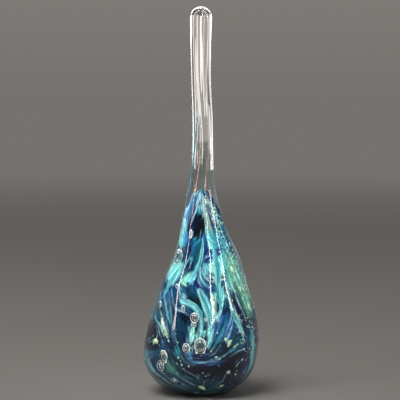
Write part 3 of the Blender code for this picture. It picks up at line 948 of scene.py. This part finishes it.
CHIPS = (
    (-57, 20.5, 1.1),
    (-51, 27, 0.8),
    (-43, 24, 0.9),
    (30, 21, 0.9),
    (2, 5.2, 1.0),
    (29, 5.5, 0.9),
    (66, 33, 0.8),
    (48, 47, 0.7),
    (58, 40, 0.8),
    (92, 33, 1.0),
    (135, 25, 1.1),
    (186, 15, 1.0),
    (230, 25, 1.1),
)

# Small flecks: azimuth, height, size, how far drawn out
FLECKS = (
    (25, 22.5, 0.45, 1.3),
    (38, 20, 0.4, 3.0),
    (48, 22, 0.35, 1.2),
    (44, 25, 0.4, 1.6),
    (50, 18.5, 0.35, 1.4),
    (49, 14.5, 0.35, 1.3),
    (10, 18.5, 0.32, 1.3),
    (16, 16.3, 0.32, 1.5),
    (20, 15.5, 0.28, 1.2),
    (3, 10.7, 0.28, 1.3),
    (6, 9.5, 0.24, 1.4),
    (31, 10.5, 0.3, 1.2),
    (43, 9.5, 0.3, 1.6),
    (-24, 16, 0.3, 1.6),
    (-20, 13.5, 0.32, 1.5),
    (-12, 13, 0.28, 1.4),
    (-7, 2.5, 0.5, 2.2),
    (-49, 26, 0.45, 1.3),
    (-46, 25.6, 0.5, 1.6),
    (-41, 23, 0.4, 1.4),
    (-54, 29, 0.35, 1.4),
    (-38, 21.6, 0.3, 1.6),
    (11, 35.4, 0.7, 1.6),
    (10.5, 37.4, 0.45, 2.4),
    (12, 32.8, 0.4, 2.6),
    (70, 49.5, 0.35, 1.5),
    (80, 51, 0.35, 1.8),
    (82, 46, 0.35, 1.6),
    (84, 36, 0.35, 1.8),
    (85, 32, 0.4, 1.4),
    (86, 28, 0.35, 1.6),
    (84, 22, 0.35, 1.3),
    (86, 18.5, 0.35, 1.5),
    (-80, 40, 0.2, 1.6),
    (-78, 33, 0.22, 1.4),
)


def build_ribbon(number, half_width, path, material):
    """A drawn ribbon: lens-shaped across, frayed along its edges, sunk in at its rim."""
    azimuth, z = along_path(path, 26)
    steps, ways = len(z), 12
    radius = core_radius(z)
    run_x, run_z = np.gradient(np.radians(azimuth)) * radius, np.gradient(z)
    length = np.hypot(run_x, run_z)
    run_x, run_z = run_x / length, run_z / length
    travelled = np.cumsum(length)
    points, strands = [], []
    for k in range(steps):
        taper = math.sin(math.pi * k / (steps - 1)) ** 0.6
        for j in range(ways + 1):
            side = 2 * j / ways - 1
            fray = 1 + 0.5 * noise.noise(Vector((travelled[k] * 0.9, number * 7.3, side * 0.6)))
            shift = side * half_width * taper * fray
            up = z[k] + shift * run_x[k]
            level = core_radius(up) + 0.42 * (1 - side * side) * taper - 0.12
            turn = azimuth[k] - math.degrees(shift * run_z[k] / radius[k])
            points.append(place(turn, up, level))
            strands.append((side * 5.5 + number * 5, travelled[k] * 0.16, number * 3.1))
    top, row = len(points), ways + 1
    points += list(place(azimuth, z, radius - 0.5))
    strands += [(number * 5, far * 0.12, number * 3.1) for far in travelled]
    faces = []
    for k in range(steps - 1):
        for a in range(k * row, k * row + ways):
            faces.append((a, a + row, a + row + 1, a + 1))
        faces.append((k * row, top + k, top + k + 1, (k + 1) * row))
        faces.append((k * row + ways, (k + 1) * row + ways, top + k + 1, top + k))
    faces.append((*range(row), top))
    faces.append((*reversed(range((steps - 1) * row, steps * row)), top + steps - 1))
    ribbon = mesh_object(f"ribbon_{number:02d}", points, faces, material)
    work = bmesh.new()
    work.from_mesh(ribbon.data)
    bmesh.ops.recalc_face_normals(work, faces=work.faces)
    work.to_mesh(ribbon.data)
    work.free()
    point_values(ribbon, "strand", strands)
    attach(ribbon, "root")
    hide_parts(f"aqua_ribbon_{number:02d}")


def fleck(random, azimuth, z, size, stretch, tilt, lift):
    """Points of one melted fleck of frit, lying on the core and drawn out along tilt."""
    work = bmesh.new()
    bmesh.ops.create_icosphere(work, subdivisions=3 if size > 0.6 else 2, radius=1.0)
    middle = place(azimuth, z, core_radius(z) + lift)
    turn, seed = math.radians(azimuth), Vector(random.uniform(-9, 9, 3))
    points = []
    for vertex in work.verts:
        swell = size * (1 + 0.8 * noise.noise(vertex.co * 1.4 + seed))
        along, thick, side = vertex.co.x * stretch, vertex.co.y * 0.5, vertex.co.z
        x = (along * math.cos(tilt) - side * math.sin(tilt)) * swell
        up = (along * math.sin(tilt) + side * math.cos(tilt)) * swell
        points.append(beside(middle, x, thick * swell, up, turn))
    faces = [tuple(v.index for v in f.verts) for f in work.faces]
    work.free()
    return points, faces


def tilt_at(flow, azimuth, z):
    row = int(np.clip(np.searchsorted(ROW_Z, z), 0, ROWS - 1))
    column = int(((azimuth + 180) % 360) / 360 * AROUND) % AROUND
    return math.atan2(flow[1][row, column], flow[0][row, column])


def build_frit(flow, material):
    random = np.random.default_rng(23)
    for number, (azimuth, z, size) in enumerate(CHIPS, start=1):
        stretch = 1.3 + 0.6 * (number % 3)
        tilt = tilt_at(flow, azimuth, z)
        points, faces = fleck(random, azimuth, z, size * 0.75, stretch, tilt, 0.1)
        chip = mesh_object(f"frit_chip_{number:02d}", points, faces, material)
        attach(chip, "root")
        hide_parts(f"lime_frit_chip_{number:02d}")
    flecks = list(FLECKS)
    for _ in range(420):
        if random.random() < 0.75:
            azimuth, z, least = random.normal(62, 14), random.uniform(18, 72), 1.2
        else:
            azimuth, z, least = random.uniform(-180, 180), random.triangular(3, 10, 34), 1.0
        flecks.append((azimuth, z, random.uniform(0.07, 0.2), random.uniform(least, 2.6)))
    for _ in range(70):
        azimuth, z = random.uniform(95, 280), random.triangular(4, 14, 46)
        flecks.append((azimuth, z, random.uniform(0.2, 0.5), random.uniform(1.2, 2.6)))
    points, faces = [], []
    for azimuth, z, size, stretch in flecks:
        tilt = tilt_at(flow, azimuth, z)
        more, more_faces = fleck(random, azimuth, z, size, stretch, tilt, 0.05)
        faces += [tuple(len(points) + v for v in f) for f in more_faces]
        points += more
    specks = mesh_object("frit_specks", points, faces, material)
    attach(specks, "root")


# ---------------------------------------------------------------- neck

# Wisps of colour drawn up into the neck: colour, then azimuth, height and half width
WISPS = (
    (CYAN, (
        (-31, 107, 0.06), (-43, 99, 0.1), (-57, 91.5, 0.12),
        (-72, 84, 0.14), (-80, 77, 0.18), (-80, 70, 0.1),
    )),
    (TEAL, (
        (-25, 106, 0.05), (-35, 99, 0.12), (-48, 91.5, 0.16),
        (-61, 84, 0.18), (-67, 77, 0.22), (-66, 70, 0.1),
    )),
    (SLATE, (
        (-17, 104, 0.05), (-21, 99, 0.1), (-31, 91.5, 0.14),
        (-44, 84, 0.14), (-51, 77, 0.16), (-50, 72, 0.1),
    )),
    (SEA, (
        (-28, 110, 0.04), (-39, 99, 0.07), (-52, 91.5, 0.1),
        (-67, 84, 0.1), (-74, 77, 0.12), (-74, 71, 0.08),
    )),
    (ROSE, ((-7, 101, 0.04), (-13, 91.5, 0.1), (-21, 84, 0.1), (-28, 77, 0.1), (-31, 73, 0.05))),
    (ROSE, ((25, 89, 0.03), (21, 84, 0.07), (17, 77, 0.08), (15, 74, 0.05))),
    (MOSS, ((9, 96, 0.04), (6, 90, 0.12), (2, 84, 0.14), (-2, 77, 0.14), (-3, 75, 0.06))),
    (CYAN, ((66, 92, 0.05), (71, 87, 0.12), (75, 81, 0.16), (77, 75, 0.18), (76, 69, 0.1))),
    (TEAL, ((52, 90, 0.05), (58, 84, 0.1), (63, 77, 0.14), (64, 70, 0.08))),
    (CYAN, ((140, 98, 0.05), (146, 90, 0.12), (150, 82, 0.16), (152, 72, 0.1))),
    (TEAL, ((205, 104, 0.05), (212, 94, 0.12), (220, 84, 0.18), (224, 72, 0.1))),
)


def build_wisps(material):
    """Flat threads of coloured glass just under the surface of the neck."""
    points, faces, tints = [], [], []
    sides = 8
    for number, (tone, path) in enumerate(WISPS, start=1):
        azimuth, z, half = along_path(path, 16)
        faces += tube_faces(len(points), len(z), sides)
        tints += [(*linear(tone), 1.0)] * (len(z) * sides)
        for k in range(len(z)):
            fray = 1 + 0.6 * noise.noise(Vector((z[k] * 0.35, number * 5.1, 0.0)))
            wide = max(half[k] * fray, 0.02)
            radius = outer_radius(z[k]) * flat_share(azimuth[k : k + 1], z[k])[0] - 0.35
            for j in range(sides):
                around = 2 * math.pi * j / sides
                turn = azimuth[k] + math.degrees(wide * math.cos(around) / radius)
                points.append(place(turn, z[k], radius + 0.3 * wide * math.sin(around)))
    wisps = mesh_object("neck_wisps", points, faces, material)
    point_values(wisps, "tint", tints)
    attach(wisps, "root")


# ---------------------------------------------------------------- studio


def build_floor():
    """A pale round floor that fades out into the grey of the studio behind it."""
    mesh = bpy.data.meshes.new("floor")
    work = bmesh.new()
    bmesh.ops.create_circle(work, cap_ends=True, segments=128, radius=3.0)
    work.to_mesh(mesh)
    work.free()
    floor = bpy.data.objects.new("floor", mesh)
    pale = (0.55, 0.53, 0.51, 1)
    n = Nodes("pale_floor", Base_Color=pale, Roughness=0.7, Specular_IOR_Level=0.2)
    far = n.add("VectorMath", operation="LENGTH")
    n.link(n.place(), far.inputs[0])
    fade = n.span(far.outputs["Value"], 0.25, 1.9, 1.0, 0.0, interpolation_type="SMOOTHSTEP")
    n.link(fade, n.shader.inputs["Alpha"])
    floor.data.materials.append(n.material)
    bpy.context.scene.collection.objects.link(floor)
    return floor


def soft_light(name, at, aim, wide, high, power, colour):
    """A soft rectangular light that faces a point and isn't in the picture itself."""
    light = bpy.data.lights.new(name, "AREA")
    light.shape = "RECTANGLE"
    light.size, light.size_y = wide, high
    light.energy, light.color = power, colour
    obj = bpy.data.objects.new(name, light)
    obj.location = at
    obj.rotation_euler = (aim - at).to_track_quat("-Z", "Y").to_euler()
    obj.visible_camera = False
    bpy.context.scene.collection.objects.link(obj)
    return obj


def strip(name, azimuth, low, high, far, wide, power, colour):
    """A tall light at an azimuth, standing from one height to another."""
    turn = math.radians(azimuth)
    at = Vector((far * math.sin(turn), -far * math.cos(turn), (low + high) / 2))
    return soft_light(name, at, Vector((0, 0, at.z * 0.6 + 0.02)), wide, high - low, power, colour)


def lamp(name, azimuth, elevation, far, size, power, colour):
    """A square light at an azimuth and elevation."""
    turn, rise = math.radians(azimuth), math.radians(elevation)
    level = math.cos(rise)
    way = Vector((math.sin(turn) * level, -math.cos(turn) * level, math.sin(rise)))
    aim = Vector((0, 0, 0.04))
    return soft_light(name, aim + way * far, aim, size, size, power, colour)


def build_world():
    """A grey room, palest just over the horizon and dim above."""
    world = bpy.data.worlds.new("studio")
    bpy.context.scene.world = world
    world.use_nodes = True
    tree = world.node_tree
    where = tree.nodes.new("ShaderNodeTexCoord")
    split = tree.nodes.new("ShaderNodeSeparateXYZ")
    ramp = tree.nodes.new("ShaderNodeValToRGB")
    tree.links.new(where.outputs["Generated"], split.inputs["Vector"])
    tree.links.new(split.outputs["Z"], ramp.inputs["Fac"])
    tree.links.new(ramp.outputs["Color"], tree.nodes["Background"].inputs["Color"])
    stops = ((0.0, 0.18), (0.08, 0.22), (0.25, 0.09), (1.0, 0.06))
    for at, value in stops[1:-1]:
        ramp.color_ramp.elements.new(at)
    for element, (at, value) in zip(ramp.color_ramp.elements, stops):
        element.position = at
        element.color = (value, value * 0.94, value * 0.88, 1)


def build_lights():
    """Tall strips for the ridges, low panels behind for the stem, and lamps high all round."""
    warm, plain, cool = (1.0, 0.95, 0.9), (1.0, 0.98, 0.96), (0.96, 0.98, 1.0)
    pink = (1.0, 0.9, 0.85)
    lights = []
    for name, azimuth, low, wide, power, colour in (
        ("left_strip", -66, 0.24, 0.16, 4.2, pink),
        ("front_strip", 14, 0.27, 0.15, 5.2, plain),
        ("right_strip", 64, 0.27, 0.14, 3.6, plain),
        ("back_left_strip", 205, 0.27, 0.14, 6.0, plain),
        ("back_right_strip", 140, 0.27, 0.14, 6.0, plain),
    ):
        lights.append(strip(name, azimuth, low, 1.3, 0.75, wide, power, colour))
        lights[-1].visible_transmission = False
    for name, azimuth, low, wide, power, colour in (
        ("left_panel", -121, 0.005, 0.3, 0.34, warm),
        ("right_panel", 122, 0.005, 0.34, 0.45, plain),
        ("far_strip_1", 150, 0.005, 0.05, 0.026, plain),
        ("far_strip_2", 166, 0.03, 0.06, 0.02, pink),
        ("far_strip_3", 180, 0.09, 0.07, 0.02, pink),
        ("far_strip_4", 192, 0.005, 0.025, 0.01, plain),
        ("far_strip_5", 203, 0.06, 0.04, 0.013, plain),
        ("far_strip_6", 223, 0.005, 0.26, 0.12, plain),
        ("far_glow", 176, 0.07, 0.7, 0.05, pink),
    ):
        lights.append(strip(name, azimuth, low, 0.2, 0.6, wide, power, colour))
        lights[-1].visible_glossy = False
    for name, azimuth, power in (("tip_left", -50, 1.6), ("tip_right", 60, 1.0), ("tip_back", 190, 1.6)):
        lights.append(lamp(name, azimuth, 74, 0.9, 0.16, power, plain))
    lights.append(lamp("tip_arc", 180, 45, 0.9, 0.8, 8.0, plain))
    lights[-1].visible_transmission = False
    for number in range(6):
        colour = (warm, plain, cool)[number % 3]
        lights.append(lamp(f"lamp_{number + 1}", -30 + 60 * number, 53, 0.8, 0.4, 7.8, colour))
        lights[-1].visible_glossy = False
    return lights


def build_studio(floor):
    """The room and its lights: one lamp lights all, and the others the object but not the floor."""
    scene = bpy.context.scene
    build_world()
    pieces = bpy.data.collections.new("lit_pieces")
    for obj in scene.objects:
        if obj.type == "MESH" and obj is not floor and not obj.hide_render:
            pieces.objects.link(obj)
    for light in build_lights():
        light.light_linking.receiver_collection = pieces
    lamp("floor_lamp", -40, 62, 1.1, 0.6, 4.5, (1.0, 0.98, 0.96)).visible_glossy = False
    scene.view_settings.view_transform = "Standard"


def build_camera():
    camera = bpy.data.cameras.new("camera")
    camera.sensor_width = 36
    camera.lens = 148.9
    camera.clip_start = 0.01
    obj = bpy.data.objects.new("camera", camera)
    obj.location = (-0.0004, -0.62, 0.112)
    target = Vector((-0.0004, 0.0, 0.0727))
    obj.rotation_euler = (target - Vector(obj.location)).to_track_quat("-Z", "Y").to_euler()
    bpy.context.scene.collection.objects.link(obj)
    bpy.context.scene.camera = obj


build_clear(clear_material())
flow = build_core(core_material())
ribbon_glass = ribbon_material()
for number, (half_width, path) in enumerate(RIBBONS, start=1):
    build_ribbon(number, half_width, path, ribbon_glass)
build_frit(flow, frit_material())
# the bubble rings are painted highlights
build_bubble_glints(bubble_glint_material())
build_wisps(wisp_material())
build_studio(build_floor())
build_camera()
